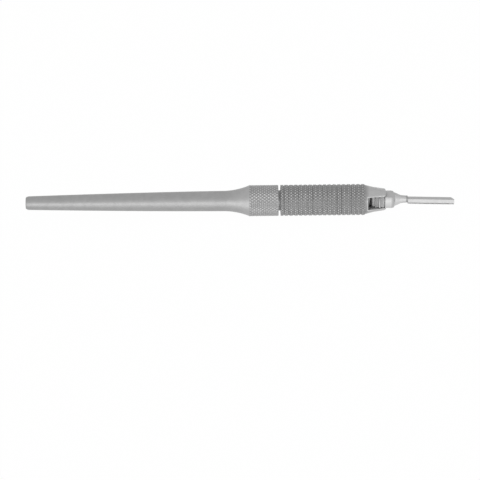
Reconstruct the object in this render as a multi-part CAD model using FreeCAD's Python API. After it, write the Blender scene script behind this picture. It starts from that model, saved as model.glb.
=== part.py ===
import FreeCAD, Part
import math
import os

# Scalpel handle with a head that swings in a fork and is locked by a screw.
# Millimetres. +X runs from the tail to the blade tang, +Z is the axis of the fork's pivot.
# The origin is the centre of the tail's flat end.

Vector = FreeCAD.Vector

# Tapered rear handle
tail_radius = 2.62
tail_chamfer = 0.5
tail_chamfer_length = 0.9
taper_middle = 39.6
taper_middle_radius = 3.46
taper_length = 75.6
taper_end_radius = 3.91
flare_length = 10.3
flare_end_radius = 5.9
flare_belly = 0.52
collar_radius = 6.03
collar_length = 11.26
collar_chamfer = 0.2

# Screw lock between the rear handle and the grip
lock_gap = 0.84
lock_travel = 0.78
spigot_radius = 4.0
spigot_length = 15.0
spigot_chamfer = 0.35
thread_clearance = 0.05
bore_end_clearance = 1.1
bore_mouth_chamfer = 0.3

# Front grip
grip_radius = 6.08
rib_pitch = 1.844
rib_depth = 0.52
rib_crest_width = 0.95
groove_count = 17
first_rib_length = 1.29
last_rib_length = 1.74

# Fork nose of the grip
nose_length = 7.88
nose_start_radius = 5.6
nose_waist_offset = 3.15
nose_waist_radius = 4.82
nose_end_radius = 4.16
nose_tip_chamfer = 0.35
slot_width = 4.7
pivot_to_nose_end = 2.35
slot_rim_chamfer = 0.3

# Toothed head
head_radius = 4.15
head_clearance = 0.12
head_shoulder_offset = 2.0
head_length = 3.65
head_back_chamfer = 0.15
head_front_bevel = 1.2
tooth_count = 12
tooth_tip_radius = 3.3
tooth_root_radius = 2.6
tooth_tip_angle = 6.0
tooth_root_angle = 6.0
near_stop_clearance = 0.2
far_stop_clearance = 0.1
swing_far_deg = 60.0
pin_radius = 1.0
pin_clearance = 0.03

# Cone, neck and blade tang
cone_start_radius = 2.72
cone_length = 4.9
cone_waist_offset = 2.6
cone_waist_radius = 1.53
neck_radius = 1.33
neck_length = 0.3
tang_length = 17.86
tang_width = 2.8
tang_thickness = 1.95
tang_drop = 0.48
tang_pitch_deg = 1.7
tang_groove_height = 0.4
tang_groove_depth = 0.35
tang_foot_height = 0.25
tang_tip_chamfer_length = 1.1
tang_tip_chamfer_width = 2.1

# Lock rod and its retaining bush
rod_radius = 2.45
rod_clearance = 0.05
rod_flange_radius = 3.05
rod_flange_length = 2.0
rod_end_clearance = 0.05
rod_guide_margin = 0.2
rod_tongue_width = 2.9
mesh_clearance = 0.05
bush_length = 3.6
bush_slot_width = 0.8
bush_slot_depth = 0.7

# Places along X that follow from the sizes above
flare_start = taper_length
collar_start = flare_start + flare_length
collar_end = collar_start + collar_length
grip_start = collar_end + lock_gap
first_groove = grip_start + first_rib_length
nose_start = first_groove + (groove_count - 1) * rib_pitch + last_rib_length
nose_end = nose_start + nose_length
pivot_x = nose_end - pivot_to_nose_end
spigot_end = collar_end + spigot_length
spigot_bore_end = spigot_end + lock_travel + bore_end_clearance
near_slot_back = pivot_x - head_radius - near_stop_clearance
head_half = slot_width / 2 - head_clearance
head_start = pivot_x + head_shoulder_offset
head_end = head_start + head_length
cone_end = head_end + cone_length
tang_start = cone_end + neck_length
tang_end = tang_start + tang_length
bore_radius = spigot_radius + thread_clearance
rod_bore_radius = rod_radius + rod_clearance
flange_bore_radius = rod_flange_radius + rod_clearance
bush_start = spigot_end - bush_length
flange_end = bush_start - rod_end_clearance
flange_start = flange_end - rod_flange_length
flange_bore_start = flange_start - rod_end_clearance

# The head's back corner comes nearest to the fork's far wall at the end of the far swing.
corner_reach = math.hypot(head_radius, head_shoulder_offset)
corner_angle = math.degrees(math.atan2(head_radius, head_shoulder_offset)) + swing_far_deg
far_slot_back = pivot_x + corner_reach * math.cos(math.radians(corner_angle)) - far_stop_clearance

# Half-size of cutting shapes that pass right through the handle
reach = 2 * grip_radius

X = Vector(1, 0, 0)
Y = Vector(0, 1, 0)
Z = Vector(0, 0, 1)


def on_profile(x, radius):
    return Vector(x, radius, 0)


def line(a, b):
    return Part.LineSegment(a, b).toShape()


def bowed(a, b, belly):
    """Arc from a to b whose middle stands off the straight line by belly, outwards where it is positive."""
    along = b - a
    across = Vector(-along.y, along.x, 0)
    across.normalize()
    return Part.Arc(a, (a + b) * 0.5 + across * belly, b).toShape()


def turned(edges):
    """Solid of revolution about X from a chain of profile edges that starts and ends on the axis."""
    first = edges[0].firstVertex().Point
    last = edges[-1].lastVertex().Point
    face = Part.Face(Part.Wire(edges + [line(last, first)]))
    return face.revolve(Vector(0, 0, 0), X, 360)


def polyline(points):
    return [line(a, b) for a, b in zip(points, points[1:])]


def rod_between(x0, x1, radius):
    return Part.makeCylinder(radius, x1 - x0, Vector(x0, 0, 0), X)


def block(x0, x1, y0, y1, z0, z1):
    return Part.makeBox(x1 - x0, y1 - y0, z1 - z0, Vector(x0, y0, z0))


def slab(x0, x1, half_height):
    """Block wider than the handle, with flats at plus and minus half_height."""
    return block(x0, x1, -reach, reach, -half_height, half_height)


def prism(points, half_height):
    """Upright prism on a closed outline in the XY plane."""
    closed = points + [points[0]]
    face = Part.Face(Part.Wire(polyline(closed)))
    face.translate(Vector(0, 0, -half_height))
    return face.extrude(Vector(0, 0, 2 * half_height))


def about_pivot(radius, degrees_from_back):
    """Point at a radius from the pivot, with its angle measured from straight back."""
    angle = math.radians(180 - degrees_from_back)
    return Vector(pivot_x + radius * math.cos(angle), radius * math.sin(angle), 0)


def rear_handle():
    taper_end = on_profile(flare_start, taper_end_radius)
    tail_and_taper = polyline([
        on_profile(0, 0),
        on_profile(0, tail_radius - tail_chamfer),
        on_profile(tail_chamfer_length, tail_radius),
        on_profile(taper_middle, taper_middle_radius),
        taper_end,
    ])
    flare_end = on_profile(collar_start, flare_end_radius)
    collar_and_spigot = polyline([
        flare_end,
        on_profile(collar_start + collar_chamfer, collar_radius),
        on_profile(collar_end - collar_chamfer, collar_radius),
        on_profile(collar_end, collar_radius - collar_chamfer),
        on_profile(collar_end, spigot_radius),
        on_profile(spigot_end - spigot_chamfer, spigot_radius),
        on_profile(spigot_end, spigot_radius - spigot_chamfer),
        on_profile(spigot_end, 0),
    ])
    flare = bowed(taper_end, flare_end, -flare_belly)
    body = turned(tail_and_taper + [flare] + collar_and_spigot)
    return body.cut(rod_between(flange_bore_start, spigot_end, flange_bore_radius))


def grip_profile():
    """Outline of the grip and nose: V grooves cut between the ribs, then the nose in two tapers."""
    groove_floor = grip_radius - rib_depth
    half_groove = (rib_pitch - rib_crest_width) / 2
    points = [
        on_profile(grip_start, 0),
        on_profile(grip_start, groove_floor),
        on_profile(grip_start + half_groove, grip_radius),
    ]
    for i in range(groove_count):
        groove = first_groove + i * rib_pitch
        points.append(on_profile(groove - half_groove, grip_radius))
        points.append(on_profile(groove, groove_floor))
        points.append(on_profile(groove + half_groove, grip_radius))
    points.append(on_profile(nose_start - half_groove, grip_radius))
    points.append(on_profile(nose_start, nose_start_radius))
    points += [
        on_profile(nose_start + nose_waist_offset, nose_waist_radius),
        on_profile(nose_end - nose_tip_chamfer, nose_end_radius),
        on_profile(nose_end, nose_end_radius - nose_tip_chamfer),
        on_profile(nose_end, 0),
    ]
    return polyline(points)


def fork_slot():
    """Slot for the head, deep on the near side for its 90 degree swing and shallower on the far side."""
    half = slot_width / 2
    wall_offset = pivot_x - far_slot_back
    tooth_room = math.sqrt(tooth_tip_radius ** 2 - wall_offset ** 2) + near_stop_clearance
    near = block(near_slot_back, nose_end + reach, -reach, tooth_room, -half, half)
    far = block(far_slot_back, nose_end + reach, 0, reach, -half, half)
    return near.fuse(far).removeSplitter()


def slot_rim_edges(solid):
    """Edges where the slot's near side breaks through the nose."""
    half = slot_width / 2
    rim_end = nose_end - nose_tip_chamfer + 0.01
    rim = []
    for edge in solid.Edges:
        box = edge.BoundBox
        if box.YMax > -head_half or box.XMin < near_slot_back - 0.01 or box.XMax > rim_end:
            continue
        on_cheek = abs(box.ZLength) < 0.01 and abs(abs(box.ZMin) - half) < 0.01
        on_back = box.XLength < 0.01 and box.ZLength > half
        if on_cheek or on_back:
            rim.append(edge)
    return rim


def front_grip():
    body = turned(grip_profile())
    body = body.cut(rod_between(grip_start, spigot_bore_end, bore_radius))
    mouth_radius = bore_radius + bore_mouth_chamfer
    mouth = Part.makeCone(mouth_radius, bore_radius, bore_mouth_chamfer, Vector(grip_start, 0, 0), X)
    body = body.cut(mouth)
    body = body.cut(rod_between(spigot_bore_end, near_slot_back + head_clearance, rod_bore_radius))
    body = body.cut(fork_slot())
    body = body.makeChamfer(slot_rim_chamfer, slot_rim_edges(body))
    return body.cut(pin_blank(pin_radius))


def pin_blank(radius):
    return Part.makeCylinder(radius, 2 * reach, Vector(pivot_x, 0, -reach), Z)


def pivot_pin():
    """Pin riveted through both cheeks, with its ends dressed flush with the nose."""
    return pin_blank(pin_radius).common(turned(grip_profile()))


def tooth_outline(growth):
    """Ring of V-shaped teeth about the pivot, one of them straight back, grown all round by growth."""
    pitch = 360.0 / tooth_count
    spread = math.degrees(growth / tooth_tip_radius)
    half_tip = tooth_tip_angle / 2 + spread
    half_root = tooth_root_angle / 2 - spread
    points = []
    for i in range(tooth_count):
        tooth = i * pitch
        valley = tooth + pitch / 2
        points.append(about_pivot(tooth_tip_radius + growth, tooth - half_tip))
        points.append(about_pivot(tooth_tip_radius + growth, tooth + half_tip))
        points.append(about_pivot(tooth_root_radius + growth, valley - half_root))
        points.append(about_pivot(tooth_root_radius + growth, valley + half_root))
    return points


def carrier_profile():
    """Outline of the head, with its front edge bevelled in two steps, and of the waisted cone and neck."""
    bevel_start = head_end - head_front_bevel
    bevel_radius = head_radius - head_front_bevel
    lift = head_front_bevel * math.sqrt(0.5)
    return polyline([
        on_profile(head_start, 0),
        on_profile(head_start, head_radius - head_back_chamfer),
        on_profile(head_start + head_back_chamfer, head_radius),
        on_profile(bevel_start, head_radius),
        on_profile(bevel_start + lift, bevel_radius + lift),
        on_profile(head_end, bevel_radius),
        on_profile(head_end, cone_start_radius),
        on_profile(head_end + cone_waist_offset, cone_waist_radius),
        on_profile(cone_end, neck_radius),
        on_profile(tang_start, neck_radius),
        on_profile(tang_start, 0),
    ])


def blade_tang():
    """Flat tang, pitched down a little, with a groove along each side and its far tip corner cut back."""
    half_width = tang_width / 2
    half_height = tang_thickness / 2
    root = tang_start - neck_length
    tang = block(root, tang_end, -half_width, half_width, -half_height, half_height)
    groove_floor = half_width - tang_groove_depth
    groove_low = tang_foot_height - half_height
    groove_high = groove_low + tang_groove_height
    for inner, outer in ((-half_width, -groove_floor), (groove_floor, half_width)):
        tang = tang.cut(block(root, tang_end, inner, outer, groove_low, groove_high))
    corner = [
        Vector(tang_end - tang_tip_chamfer_length, half_width, -half_height),
        Vector(tang_end, half_width, -half_height),
        Vector(tang_end, half_width - tang_tip_chamfer_width, -half_height),
    ]
    corner_face = Part.Face(Part.Wire(polyline(corner + corner[:1])))
    tang = tang.cut(corner_face.extrude(Vector(0, 0, tang_thickness)))
    tang.rotate(Vector(tang_start, 0, 0), Y, tang_pitch_deg)
    tang.translate(Vector(0, 0, -tang_drop))
    return tang.common(block(tang_start, tang_end + reach, -reach, reach, -reach, reach))


def blade_carrier():
    """Toothed head, cone and neck milled flat to pass the fork, with the blade tang in front."""
    body = turned(carrier_profile()).common(slab(head_start, tang_start, head_half))
    body = body.fuse(prism(tooth_outline(0), head_half))
    body = body.fuse(blade_tang()).removeSplitter()
    return body.cut(pin_blank(pin_radius + pin_clearance))


def lock_rod():
    """Round rod with a flange at the back and, at the front, a notched tongue that takes a tooth."""
    tongue_start = near_slot_back - lock_travel - rod_guide_margin
    tongue_end = pivot_x - tooth_root_radius + mesh_clearance
    round_part = rod_between(flange_start, tongue_start, rod_radius)
    flange = rod_between(flange_start, flange_end, rod_flange_radius)
    half_width = rod_tongue_width / 2
    half_height = slot_width / 2 - rod_clearance
    tongue = block(tongue_start, tongue_end, -half_width, half_width, -half_height, half_height)
    tongue = tongue.common(rod_between(tongue_start, tongue_end, rod_radius))
    tongue = tongue.cut(prism(tooth_outline(mesh_clearance), half_height + mesh_clearance))
    tongue_back = tongue.translated(Vector(-lock_travel, 0, 0))
    return round_part.fuse([flange, tongue_back]).removeSplitter()


def rod_retaining_bush():
    """Bush in the spigot's mouth, with a spanner slot across its front."""
    bush = rod_between(bush_start, spigot_end, flange_bore_radius)
    bush = bush.cut(rod_between(bush_start, spigot_end, rod_bore_radius))
    half = bush_slot_width / 2
    return bush.cut(block(spigot_end - bush_slot_depth, spigot_end, -reach, reach, -half, half))


pieces = {
    "rear_handle": rear_handle,
    "front_grip": front_grip,
    "lock_rod": lock_rod,
    "rod_retaining_bush": rod_retaining_bush,
    "pivot_pin": pivot_pin,
    "blade_carrier": blade_carrier,
}

os.makedirs("parts", exist_ok=True)
for name, make in pieces.items():
    shape = make()
    shape.exportStep("parts/" + name + ".step")
    box = shape.BoundBox
    print(name, len(shape.Solids), shape.isValid(), round(shape.Volume, 2),
          [round(v, 3) for v in (box.XMin, box.YMin, box.ZMin, box.XMax, box.YMax, box.ZMax)])
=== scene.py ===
import math

import bmesh
import bpy
import numpy as np
from mathutils import Matrix, Vector


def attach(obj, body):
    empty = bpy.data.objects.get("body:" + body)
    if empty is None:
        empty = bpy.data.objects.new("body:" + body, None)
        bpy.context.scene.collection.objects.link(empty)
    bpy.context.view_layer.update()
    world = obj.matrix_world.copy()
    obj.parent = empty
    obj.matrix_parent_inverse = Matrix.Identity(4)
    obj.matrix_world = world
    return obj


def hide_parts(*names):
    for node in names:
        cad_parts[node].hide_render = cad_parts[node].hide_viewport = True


# A round steel scalpel handle: smooth tapered tail half, knurled collar, ribbed and knurled grip,
# forked nose, and the toothed head with its flat blade tang. +X runs from the tail to the tang.

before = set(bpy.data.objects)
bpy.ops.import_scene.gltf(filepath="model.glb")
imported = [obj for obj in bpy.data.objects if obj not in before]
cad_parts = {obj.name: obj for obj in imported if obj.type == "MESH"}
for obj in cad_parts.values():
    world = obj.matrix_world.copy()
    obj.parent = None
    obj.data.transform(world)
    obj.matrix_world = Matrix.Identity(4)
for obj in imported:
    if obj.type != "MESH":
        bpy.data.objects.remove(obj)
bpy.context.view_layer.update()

MM = 0.001

# All sizes are in millimetres. Points of a profile are (x, radius).

# Tail, taper and flare of the rear handle
TAIL = [(0.0, 2.12), (0.35, 2.42), (0.9, 2.62)]
TAPER = [(0.9, 2.62), (20.0, 3.07), (39.6, 3.46), (57.6, 3.74), (75.6, 3.91)]
FLARE_END = (85.9, 5.9)
FLARE_BELLY = 0.52

# Collar and threaded spigot of the rear handle
COLLAR_RADIUS = 6.03
COLLAR_END = 97.16
COLLAR_CHAMFER = 0.2
SPIGOT_RADIUS = 4.0
SPIGOT_END = 112.16
SPIGOT_CHAMFER = 0.35
THREAD_PITCH = 1.0
THREAD_DEPTH = 0.55
THREAD_START = 98.8
UNDERCUT = 0.1
FLANGE_BORE_RADIUS = 3.1
FLANGE_BORE_START = 106.46

# Ribs of the grip
GRIP_START = 98.0
GRIP_RADIUS = 6.08
RIB_PITCH = 1.844
RIB_DEPTH = 0.42
RIB_FLANK = 0.447
RIB_ROUNDING = 0.62
FIRST_EDGE = 0.2
FIRST_GROOVE = 99.29
GROOVES = 17

# Nose of the grip, and the window where the slot's near side breaks through it. The window's lower and
# back edges are eased away from the slot, its upper chamfer is smaller, and its border is a little more
# polished and painted lighter as a painted highlight.
NOSE_START = 130.534
NOSE_START_RADIUS = 5.6
NOSE_END = 138.414
NOSE_FADE = 1.6
SLOT_HALF = 2.35
SLOT_BACK = 131.714
RIM_CHAMFER = 0.3
RIM_BORDER = 0.04
UPPER_BORDER = 0.38
RIM_RADIUS = 4.1
LOWER_RIM_EASE = 0.42
UPPER_CHAMFER = 0.07
BACK_RIM_EASE = 0.16
NEAR_SIDE_Y = -1.0
WALL_FACING = 0.985
OUTWARD_FACING = 0.2

# Head, with the neck between its cone and the tang
PIVOT_X = 136.064
HEAD_START = 138.064
HEAD_END = 141.714
HEAD_BEVEL = 1.2
TOOTH_TIP_RADIUS = 3.3
LAST_TOOTH_X = 137.6
NECK_START = 146.25
NECK_END = 147.0

# Diamond knurl of the collar and the ribs: points round the section, and length of one point
KNURL_ROUND = 32
KNURL_LENGTH = 1.57
COLLAR_KNURL_DEPTH = 0.32
COLLAR_KNURL_FADE = 0.5
RIB_KNURL_DEPTH = 0.4

# Spacing of the mesh along and round the turned surfaces
TAPER_RINGS = 30
FLARE_RINGS = 22
RING_STEP = 0.13
THREAD_STEPS = 8
COLUMNS = 320

# How far off a place a vertex or a face's middle may lie and still be counted to it
MARGIN = 0.1
TIGHT_MARGIN = 0.01

# Shares of a steel's brightness, painted into its colour. A knurl or thread has painted shade in its
# grooves, and a painted highlight that its points add.
COLLAR_KNURL_SHADE_AND_HIGHLIGHT = (0.82, 0.97)
RIB_KNURL_SHADE_AND_HIGHLIGHT = (0.59, 1.3)
THREAD_SHADE_AND_HIGHLIGHT = (0.8, 0.3)
# Painted shade in the narrow gap between the collar and the grip
UNDERCUT_SHADE = 0.9
# Painted highlight on the flare
FLARE_HIGHLIGHT = 0.15
# Painted shade on the floors of the grip's grooves
GROOVE_SHADE = 0.74
# The nose's own tone, and the painted shade that holds down the highlight where the nose leaves the ribs
NOSE_TONE = 1.25
NOSE_SHADE = 0.66
# Painted shade on the teeth inside the window, and painted light on the last tooth against the shadow beside
# the head
TEETH_SHADE = 0.7
LAST_TOOTH_LIGHT = 1.7
# Painted shade on the head's front bevel
BEVEL_SHADE = 0.78
# Painted shadow in the neck between the cone and the tang
NECK_SHADOW = 0.6
# Painted shade on the head's faces that look up or down
TOP_AND_BOTTOM_SHADE = 0.25

ANGLES = np.arange(COLUMNS) * 2 * math.pi / COLUMNS
TURNS = ANGLES / (2 * math.pi)


# Forms


def wave(t):
    """Triangle wave of period 1: 0 at whole numbers, 1 half way between them."""
    return 1 - np.abs(2 * (t - np.floor(t)) - 1)


def knurl(x):
    """0 in the crossed grooves of a diamond knurl and 1 on its points, round the section at x."""
    a = wave(TURNS * KNURL_ROUND + x / KNURL_LENGTH)
    b = wave(TURNS * KNURL_ROUND - x / KNURL_LENGTH)
    return np.minimum(a, b)


def thread(x):
    """0 at the root and 1 on the crest of the screw thread, round the section at x."""
    return wave(x / THREAD_PITCH - TURNS)


def smooth_curve(points, count):
    """Profile points on a smooth curve through the given ones."""
    xs, rs = np.array(points).T
    fit = np.polyfit(xs, rs, len(points) - 1)
    at = np.linspace(xs[0], xs[-1], count)
    return list(zip(at, np.polyval(fit, at)))


def hollow_arc(start, end, belly, count):
    """Profile points on an arc from start to end that sags by belly below the straight line."""
    start, end = np.array(start), np.array(end)
    chord = end - start
    length = np.hypot(*chord)
    radius = (length ** 2 / 4 + belly ** 2) / (2 * belly)
    half = math.asin(length / 2 / radius)
    middle = (start + end) / 2
    normal = np.array((-chord[1], chord[0])) / length
    points = []
    for t in np.linspace(-half, half, count):
        offset = radius * math.cos(t) - (radius - belly)
        points.append(tuple(middle + chord / length * radius * math.sin(t) - normal * offset))
    return points


def ring(x, radius, tone=1.0):
    """Plain round section, as a ring for lathe."""
    return x, np.full(COLUMNS, radius), np.full(COLUMNS, tone)


def knurled(x, radius, depth, tones):
    """Ring with the knurl cut into it to a depth, with painted shade in its grooves and a painted highlight
    on its points.
    """
    points = knurl(x)
    groove_shade, point_highlight = tones
    return x, radius - depth * (1 - points), groove_shade + point_highlight * points ** 2


def lathe(name, rings, closed=True):
    """Mesh of rings about the X axis. A ring is (x, radii round the section, tones)."""
    verts = []
    tones = []
    for x, radii, tone in rings:
        for a, r, t in zip(ANGLES, radii, tone):
            verts.append((x * MM, r * math.cos(a) * MM, r * math.sin(a) * MM))
            tones.append(t)
    faces = []
    for i in range(len(rings) - 1):
        here, beyond = i * COLUMNS, (i + 1) * COLUMNS
        for j in range(COLUMNS):
            k = (j + 1) % COLUMNS
            faces.append((here + j, beyond + j, beyond + k, here + k))
    if closed:
        last = (len(rings) - 1) * COLUMNS
        faces.append(tuple(range(COLUMNS)))
        faces.append(tuple(last + j for j in reversed(range(COLUMNS))))
    mesh = bpy.data.meshes.new(name)
    mesh.from_pydata(verts, [], faces)
    layer = mesh.attributes.new("tone", "FLOAT", "POINT")
    layer.data.foreach_set("value", tones)
    mesh.validate()
    return mesh


def soften(mesh, degrees):
    """Smooth shading with every edge sharper than the angle kept crisp."""
    mesh.shade_smooth()
    mesh.set_sharp_from_angle(angle=math.radians(degrees))


def cut_faces(bm, faces, place, normal):
    """Cut the faces along a plane, so that an edge runs there."""
    parts = list(dict.fromkeys(part for face in faces for part in (face, *face.edges, *face.verts)))
    bmesh.ops.bisect_plane(bm, geom=parts, plane_co=Vector(place) * MM, plane_no=normal)


def node_mesh(node_name, name):
    """The node's own mesh, welded, to be finished as a piece of its own."""
    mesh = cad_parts[node_name].data.copy()
    mesh.name = name
    mesh.materials.clear()
    bm = bmesh.new()
    bm.from_mesh(mesh)
    bmesh.ops.remove_doubles(bm, verts=bm.verts, dist=1e-7)
    bm.to_mesh(mesh)
    bm.free()
    return mesh


def piece(name, mesh, body, material, node_name):
    obj = bpy.data.objects.new(name, mesh)
    bpy.context.scene.collection.objects.link(obj)
    mesh.materials.append(material)
    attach(obj, body)
    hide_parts(node_name)


# Materials. Texture scales are per metre, and heights are in metres.

MOTTLE_SCALE = 420.0
POLISH_SCALE = 900.0
POLISH_SPREAD = 0.05
GRIT_SCALE = 9000.0


def new_material(name):
    material = bpy.data.materials.new(name)
    material.use_nodes = True
    tree = material.node_tree
    tree.nodes.clear()
    output = tree.nodes.new("ShaderNodeOutputMaterial")
    return material, tree, output


def node(tree, kind, **values):
    """New shader node, with its inputs and settings by name."""
    made = tree.nodes.new(kind)
    for key, value in values.items():
        if key in made.inputs:
            made.inputs[key].default_value = value
        else:
            setattr(made, key, value)
    return made


def grey(value):
    return (value, value, value)


def ramp(tree, source, low, high, start=0.3, end=0.7):
    """Colour that goes from low to high while the source goes from start to end."""
    made = tree.nodes.new("ShaderNodeValToRGB")
    made.color_ramp.elements[0].position = start
    made.color_ramp.elements[0].color = (*low, 1)
    made.color_ramp.elements[1].position = end
    made.color_ramp.elements[1].color = (*high, 1)
    tree.links.new(source, made.inputs["Fac"])
    return made.outputs["Color"]


def spread(tree, source, low, high):
    """Value that goes from low to high while the source goes from 0 to 1."""
    made = tree.nodes.new("ShaderNodeMapRange")
    made.inputs["To Min"].default_value = low
    made.inputs["To Max"].default_value = high
    tree.links.new(source, made.inputs["Value"])
    return made.outputs["Result"]


def steel(name, dark, light, rough, grain, rings_mm=0.0, ring_height=0.0, toned=False):
    """Steel with mottled tone, uneven polish, fine grit and, if asked, turned rings about X.

    Toned steel is scaled by the mesh's tone, which is mostly painted shade and painted highlight. Grain is
    the grit's height.
    """
    material, tree, output = new_material(name)
    shader = node(tree, "ShaderNodeBsdfPrincipled", Metallic=1.0)
    place = tree.nodes.new("ShaderNodeTexCoord").outputs["Object"]
    mottle = node(tree, "ShaderNodeTexNoise", Scale=MOTTLE_SCALE, Detail=4.0, Roughness=0.6)
    tree.links.new(place, mottle.inputs["Vector"])
    colour = ramp(tree, mottle.outputs["Fac"], grey(dark), grey(light))
    if toned:
        tone = node(tree, "ShaderNodeAttribute", attribute_name="tone")
        scaled = node(tree, "ShaderNodeVectorMath", operation="SCALE")
        tree.links.new(colour, scaled.inputs[0])
        tree.links.new(tone.outputs["Fac"], scaled.inputs["Scale"])
        colour = scaled.outputs["Vector"]
    tree.links.new(colour, shader.inputs["Base Color"])
    polish = node(tree, "ShaderNodeTexNoise", Scale=POLISH_SCALE, Detail=3.0)
    tree.links.new(place, polish.inputs["Vector"])
    uneven = spread(tree, polish.outputs["Fac"], rough - POLISH_SPREAD, rough + POLISH_SPREAD)
    tree.links.new(uneven, shader.inputs["Roughness"])
    grit = node(tree, "ShaderNodeTexNoise", Scale=GRIT_SCALE, Detail=2.0)
    tree.links.new(place, grit.inputs["Vector"])
    bump = node(tree, "ShaderNodeBump", Strength=1.0, Distance=grain)
    tree.links.new(grit.outputs["Fac"], bump.inputs["Height"])
    if rings_mm:
        # A wave texture of scale s repeats every pi / (10 s)
        rings = node(tree, "ShaderNodeTexWave", wave_type="BANDS", bands_direction="X",
                     Scale=math.pi / 10 / (rings_mm * MM), Distortion=1.2, Detail=2.0)
        tree.links.new(place, rings.inputs["Vector"])
        turned = node(tree, "ShaderNodeBump", Strength=1.0, Distance=ring_height)
        tree.links.new(rings.outputs["Fac"], turned.inputs["Height"])
        tree.links.new(bump.outputs["Normal"], turned.inputs["Normal"])
        bump = turned
    tree.links.new(bump.outputs["Normal"], shader.inputs["Normal"])
    tree.links.new(shader.outputs["BSDF"], output.inputs["Surface"])
    return material


handle_steel = steel("handle_steel", 0.355, 0.395, 0.5, 1.5e-7, 0.14, 1.2e-6, toned=True)
grip_steel = steel("grip_steel", 0.355, 0.395, 0.48, 2e-7, 0.58, 4.0e-6, toned=True)
head_steel = steel("head_steel", 0.61, 0.67, 0.56, 1.5e-7, toned=True)
# Lighter steel of the window's border: a painted highlight, on a slightly smoother finish
rim_highlight_steel = steel("rim_highlight_steel", 0.56, 0.62, 0.42, 1.5e-7)
# Dark steel of the lock rod: painted shade, as the rod sits in the slot's shade
rod_steel = steel("rod_steel", 0.20, 0.26, 0.35, 2e-7, 0.1, 1.0e-6)
bush_steel = steel("bush_steel", 0.36, 0.42, 0.3, 2e-7, 0.1, 1.0e-6)
pin_steel = steel("pin_steel", 0.44, 0.50, 0.26, 2e-7)


# Rear handle: tail, taper, flare, knurled collar and threaded spigot


def rear_handle_rings():
    rings = [ring(x, r) for x, r in TAIL[:-1] + smooth_curve(TAPER, TAPER_RINGS)]
    taper_end = TAPER[-1]
    flare_length = FLARE_END[0] - taper_end[0]
    # The flare gets a painted highlight that grows towards the collar
    for x, r in hollow_arc(taper_end, FLARE_END, FLARE_BELLY, FLARE_RINGS)[1:]:
        rings.append(ring(x, r, 1 + FLARE_HIGHLIGHT * (x - taper_end[0]) / flare_length))
    start = FLARE_END[0] + COLLAR_CHAMFER
    stop = COLLAR_END - COLLAR_CHAMFER
    for x in np.linspace(start, stop, math.ceil((stop - start) / RING_STEP)):
        depth = COLLAR_KNURL_DEPTH * min(1.0, (x - start) / COLLAR_KNURL_FADE)
        # Painted shade in the knurl's grooves and a painted highlight on its points
        rings.append(knurled(x, COLLAR_RADIUS, depth, COLLAR_KNURL_SHADE_AND_HIGHLIGHT))
    rings.append(ring(COLLAR_END, COLLAR_RADIUS - COLLAR_CHAMFER))
    # Painted shade on the undercut seen in the gap
    rings.append(ring(COLLAR_END, SPIGOT_RADIUS - UNDERCUT, UNDERCUT_SHADE))
    rings.append(ring(THREAD_START, SPIGOT_RADIUS - UNDERCUT, UNDERCUT_SHADE))
    # Painted shade at the thread's roots and a painted highlight on its crests
    for x in np.arange(THREAD_START, SPIGOT_END - SPIGOT_CHAMFER, THREAD_PITCH / THREAD_STEPS):
        crest = thread(x)
        root_shade, crest_highlight = THREAD_SHADE_AND_HIGHLIGHT
        rings.append((x, SPIGOT_RADIUS - THREAD_DEPTH * (1 - crest), root_shade + crest_highlight * crest))
    rings.append(ring(SPIGOT_END, SPIGOT_RADIUS - THREAD_DEPTH))
    rings.append(ring(SPIGOT_END, FLANGE_BORE_RADIUS))
    rings.append(ring(FLANGE_BORE_START, FLANGE_BORE_RADIUS))
    return rings


handle_mesh = lathe("rear_handle_turned", rear_handle_rings())
soften(handle_mesh, 35)
piece("rear_handle_turned", handle_mesh, "handle", handle_steel, "rear_handle")


# Front grip: knurled ribs joined to the node's own nose, slot and bore


def rib_height(x):
    """0 on the floor of a groove and 1 on a rib's crest."""
    grooves = [GRIP_START - FIRST_EDGE] + [FIRST_GROOVE + i * RIB_PITCH for i in range(GROOVES)]
    nearest = min(abs(x - groove) for groove in grooves)
    return math.sin(math.pi / 2 * min(1.0, nearest / RIB_ROUNDING))


def rib_ring(x):
    """Ring of the ribbed length, which slopes down to the nose over the last rib's flank."""
    height = rib_height(x)
    slope = max(0.0, (x - NOSE_START + RIB_FLANK) / RIB_FLANK)
    radius = GRIP_RADIUS - RIB_DEPTH * (1 - height) - (GRIP_RADIUS - NOSE_START_RADIUS) * slope
    depth = RIB_KNURL_DEPTH * (0.5 + 0.5 * height) * (1 - slope)
    x, radii, tones = knurled(x, radius, depth, RIB_KNURL_SHADE_AND_HIGHLIGHT)
    # Painted shade on the groove floors
    tones = tones * height + GROOVE_SHADE * (1 - height)
    # Over the last rib's flank the tone runs into the nose's, with its painted shade
    return x, radii, tones * (1 - slope) + NOSE_TONE * NOSE_SHADE * slope


RIM_BACK = SLOT_BACK - BACK_RIM_EASE - RIM_CHAMFER - RIM_BORDER
RIM_TOP = SLOT_HALF + UPPER_CHAMFER + UPPER_BORDER
RIM_BOTTOM = -SLOT_HALF - LOWER_RIM_EASE - RIM_CHAMFER - RIM_BORDER


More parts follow.
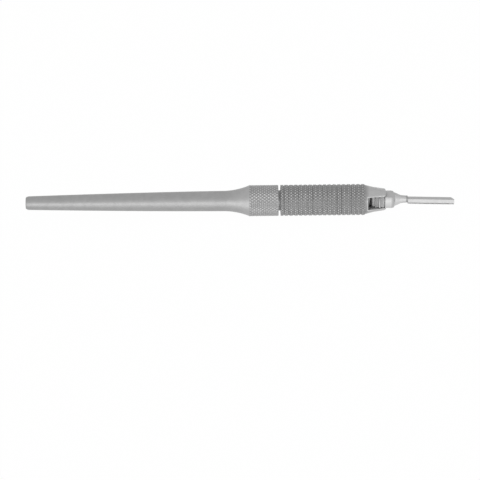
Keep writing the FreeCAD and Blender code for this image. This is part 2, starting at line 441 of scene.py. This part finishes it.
def ease_window(bm):
    """Move the window's back edge further back and its lower edge down, and narrow its upper chamfer."""
    lower = Matrix.Rotation(LOWER_RIM_EASE / RIM_RADIUS, 4, "X")
    chamfer_top = SLOT_HALF + UPPER_CHAMFER
    rim_width = RIM_CHAMFER + MARGIN
    for vert in bm.verts:
        x, y, z = vert.co / MM
        if y > NEAR_SIDE_Y:
            continue
        along_window = SLOT_BACK - rim_width < x < NOSE_END - RIM_CHAMFER
        if along_window and SLOT_HALF + MARGIN < z < SLOT_HALF + rim_width:
            vert.co.y = -math.sqrt(y ** 2 + z ** 2 - chamfer_top ** 2) * MM
            vert.co.z = chamfer_top * MM
        if SLOT_BACK - rim_width < x < SLOT_BACK + MARGIN and abs(z) < SLOT_HALF + rim_width:
            vert.co.x -= BACK_RIM_EASE * MM
        if x > SLOT_BACK - rim_width and -SLOT_HALF - rim_width < z < -SLOT_HALF + MARGIN:
            vert.co = lower @ vert.co


def cut_border(bm):
    """Cut the nose's near side where the window's border, with its painted highlight, ends."""
    for place, normal in (((RIM_BACK, 0, 0), (1, 0, 0)), ((0, 0, RIM_TOP), (0, 0, 1)),
                          ((0, 0, RIM_BOTTOM), (0, 0, 1))):
        middles = [(face, face.calc_center_median() / MM) for face in bm.faces]
        near = [face for face, middle in middles if middle.y < 0 and middle.x > NOSE_START]
        cut_faces(bm, near, place, normal)


def shade_nose(bm):
    """Painted shade where the nose leaves the ribs, holding down the highlight there, and the nose's own
    tone past them.
    """
    tone = bm.verts.layers.float.new("tone")
    for vert in bm.verts:
        past_ribs = min(1.0, (vert.co.x / MM - NOSE_START) / NOSE_FADE)
        vert[tone] = NOSE_TONE * (NOSE_SHADE + (1 - NOSE_SHADE) * past_ribs)


def fit_ribs(bm, ribs):
    """Put the ribs' mesh in the place of the plain ribs."""
    plain = []
    for face in bm.faces:
        middle = face.calc_center_median() / MM
        outside = math.hypot(middle.y, middle.z) > NOSE_START_RADIUS - MARGIN
        if outside and GRIP_START + TIGHT_MARGIN < middle.x < NOSE_START:
            plain.append(face)
    bmesh.ops.delete(bm, geom=plain, context="FACES")
    bm.from_mesh(ribs)
    open_ends = {}
    for edge in bm.edges:
        if edge.is_boundary:
            x = round((edge.verts[0].co.x + edge.verts[1].co.x) / 2 / MM, 2)
            open_ends.setdefault(x, []).append(edge)
    for edges in open_ends.values():
        bmesh.ops.bridge_loops(bm, edges=edges)
    bm.normal_update()


def mark_border(bm, material_index):
    """Give the window's border and chamfer their own lighter material, a painted highlight, but not the
    slot's walls.
    """
    for face in bm.faces:
        middle = face.calc_center_median() / MM
        outward = Vector((0, middle.y, middle.z)).normalized()
        beside_slot = RIM_BACK < middle.x < NOSE_END - RIM_CHAMFER and RIM_BOTTOM < middle.z < RIM_TOP
        on_wall = max(abs(face.normal.x), abs(face.normal.z)) > WALL_FACING
        faces_out = face.normal.dot(outward) > OUTWARD_FACING
        if beside_slot and middle.y < 0 and faces_out and not on_wall:
            face.material_index = material_index


rib_count = math.ceil((NOSE_START - GRIP_START) / RING_STEP)
rib_mesh = lathe("ribs", [rib_ring(x) for x in np.linspace(GRIP_START, NOSE_START, rib_count)], closed=False)
grip_mesh = node_mesh("front_grip", "front_grip_knurled")
bm = bmesh.new()
bm.from_mesh(grip_mesh)
ease_window(bm)
cut_border(bm)
shade_nose(bm)
fit_ribs(bm, rib_mesh)
mark_border(bm, 1)
bm.to_mesh(grip_mesh)
bm.free()
soften(grip_mesh, 30)
piece("front_grip_knurled", grip_mesh, "grip", grip_steel, "front_grip")
grip_mesh.materials.append(rim_highlight_steel)


# The other pieces keep their nodes' form, with smooth curves and crisp edges


def head_light_and_shade(middle, normal):
    """Painted light and shade of one of the head's faces: painted shade on the teeth in the window, the
    front bevel, the neck and faces that look up or down, and painted light on the last tooth.
    """
    from_pivot = math.hypot(middle.x - PIVOT_X, middle.y)
    upright = abs(normal.z) < 0.5
    if middle.x < HEAD_START - TIGHT_MARGIN and upright and from_pivot < TOOTH_TIP_RADIUS - MARGIN:
        return TEETH_SHADE if middle.x < LAST_TOOTH_X else LAST_TOOTH_LIGHT
    on_bevel = HEAD_END - HEAD_BEVEL - TIGHT_MARGIN < middle.x < HEAD_END - TIGHT_MARGIN
    if on_bevel and normal.x > OUTWARD_FACING:
        return BEVEL_SHADE
    if NECK_START < middle.x < NECK_END:
        return NECK_SHADOW
    # Painted shade on faces that look up or down
    return 1.0 - TOP_AND_BOTTOM_SHADE * normal.z ** 2


head_mesh = node_mesh("blade_carrier", "blade_carrier_finished")
bm = bmesh.new()
bm.from_mesh(head_mesh)
# The neck gets faces of its own, for its painted shadow
for x in (NECK_START, NECK_END):
    cut_faces(bm, bm.faces, (x, 0, 0), (1, 0, 0))
bm.to_mesh(head_mesh)
bm.free()
layer = head_mesh.attributes.new("tone", "FLOAT", "FACE")
layer.data.foreach_set("value", [head_light_and_shade(f.center / MM, f.normal) for f in head_mesh.polygons])

rod_mesh = node_mesh("lock_rod", "lock_rod_finished")
bush_mesh = node_mesh("rod_retaining_bush", "rod_retaining_bush_finished")
pin_mesh = node_mesh("pivot_pin", "pivot_pin_finished")
for mesh in (head_mesh, rod_mesh, bush_mesh, pin_mesh):
    soften(mesh, 32)
piece("blade_carrier_finished", head_mesh, "head", head_steel, "blade_carrier")
piece("lock_rod_finished", rod_mesh, "rod", rod_steel, "lock_rod")
piece("rod_retaining_bush_finished", bush_mesh, "handle", bush_steel, "rod_retaining_bush")
piece("pivot_pin_finished", pin_mesh, "grip", pin_steel, "pivot_pin")


# Studio. Lengths here are in metres.

CAMERA_DISTANCE = 1.0
CAMERA_ELEVATION = 22.5
CAMERA_ROLL = -0.63
FRAME_WIDTH = 0.1848
LOOK_AT_X = 0.08224
AXIS_ABOVE_CENTRE = 0.01508
SENSOR_MM = 36.0
FLOOR_HALF = 4.0
FLOOR_GLOW = 0.985
PAPER = 0.88


def add_camera():
    data = bpy.data.cameras.new("camera")
    data.sensor_width = SENSOR_MM
    data.lens = SENSOR_MM * CAMERA_DISTANCE / FRAME_WIDTH
    data.clip_start = 0.01
    data.clip_end = 50
    obj = bpy.data.objects.new("camera", data)
    bpy.context.scene.collection.objects.link(obj)
    tilt = math.radians(CAMERA_ELEVATION)
    forward = Vector((0, math.cos(tilt), -math.sin(tilt)))
    up = Vector((0, math.sin(tilt), math.cos(tilt)))
    aim = Vector((LOOK_AT_X, 0, 0)) - up * AXIS_ABOVE_CENTRE
    turn = forward.to_track_quat("-Z", "Y").to_matrix().to_4x4()
    roll = Matrix.Rotation(math.radians(CAMERA_ROLL), 4, "Z")
    obj.matrix_world = Matrix.Translation(aim - forward * CAMERA_DISTANCE) @ turn @ roll
    bpy.context.scene.camera = obj


def add_light(name, place, aim, width, height, power):
    """Soft lamp, lighting the object without being seen itself."""
    data = bpy.data.lights.new(name, "AREA")
    data.shape = "RECTANGLE"
    data.size = width
    data.size_y = height
    data.energy = power
    obj = bpy.data.objects.new(name, data)
    bpy.context.scene.collection.objects.link(obj)
    obj.location = place
    obj.rotation_euler = (Vector(aim) - Vector(place)).to_track_quat("-Z", "Y").to_euler()
    obj.visible_camera = False


def seen_directly(tree):
    """1 for rays that show the background: straight to the camera, mirrored or through glass."""
    path = tree.nodes.new("ShaderNodeLightPath")
    total = path.outputs["Is Camera Ray"]
    for name in ("Is Glossy Ray", "Is Transmission Ray"):
        both = node(tree, "ShaderNodeMath", operation="MAXIMUM")
        tree.links.new(total, both.inputs[0])
        tree.links.new(path.outputs[name], both.inputs[1])
        total = both.outputs[0]
    return total


def add_floor():
    """White paper under the grip, which is the handle's thickest part."""
    mesh = bpy.data.meshes.new("floor")
    bm = bmesh.new()
    bmesh.ops.create_grid(bm, x_segments=4, y_segments=4, size=FLOOR_HALF)
    bm.to_mesh(mesh)
    bm.free()
    obj = bpy.data.objects.new("floor", mesh)
    bpy.context.scene.collection.objects.link(obj)
    obj.location = (0.08, 0, -GRIP_RADIUS * MM)
    material, tree, output = new_material("paper")
    paper = node(tree, "ShaderNodeBsdfDiffuse", Color=(*grey(PAPER), 1))
    glow = node(tree, "ShaderNodeEmission", Color=(*grey(1.0), 1), Strength=1.0)
    share = node(tree, "ShaderNodeMath", operation="MULTIPLY")
    share.inputs[1].default_value = FLOOR_GLOW
    tree.links.new(seen_directly(tree), share.inputs[0])
    mix = tree.nodes.new("ShaderNodeMixShader")
    tree.links.new(share.outputs[0], mix.inputs["Fac"])
    tree.links.new(paper.outputs["BSDF"], mix.inputs[1])
    tree.links.new(glow.outputs["Emission"], mix.inputs[2])
    tree.links.new(mix.outputs["Shader"], output.inputs["Surface"])
    mesh.materials.append(material)


def add_world():
    """Pale studio room, white at the horizon and a little darker overhead."""
    world = bpy.data.worlds.new("studio")
    bpy.context.scene.world = world
    world.use_nodes = True
    tree = world.node_tree
    tree.nodes.clear()
    output = tree.nodes.new("ShaderNodeOutputWorld")
    place = tree.nodes.new("ShaderNodeTexCoord")
    split = tree.nodes.new("ShaderNodeSeparateXYZ")
    tree.links.new(place.outputs["Generated"], split.inputs["Vector"])
    room = ramp(tree, split.outputs["Z"], grey(1.0), grey(0.88), 0.10, 0.35)
    pale = node(tree, "ShaderNodeBackground", Strength=1.0)
    tree.links.new(room, pale.inputs["Color"])
    tree.links.new(pale.outputs["Background"], output.inputs["Surface"])


add_camera()
add_floor()
add_world()
add_light("front_strip", (0.08, -0.75, 0.014), (0.08, 0, 0), 2.0, 0.04, 1.9)
add_light("low_panel", (-0.004, -0.044, -0.0057), (-0.004, -0.044, 1.0), 0.232, 0.064, 0.028)
bpy.context.scene.view_settings.view_transform = "Standard"
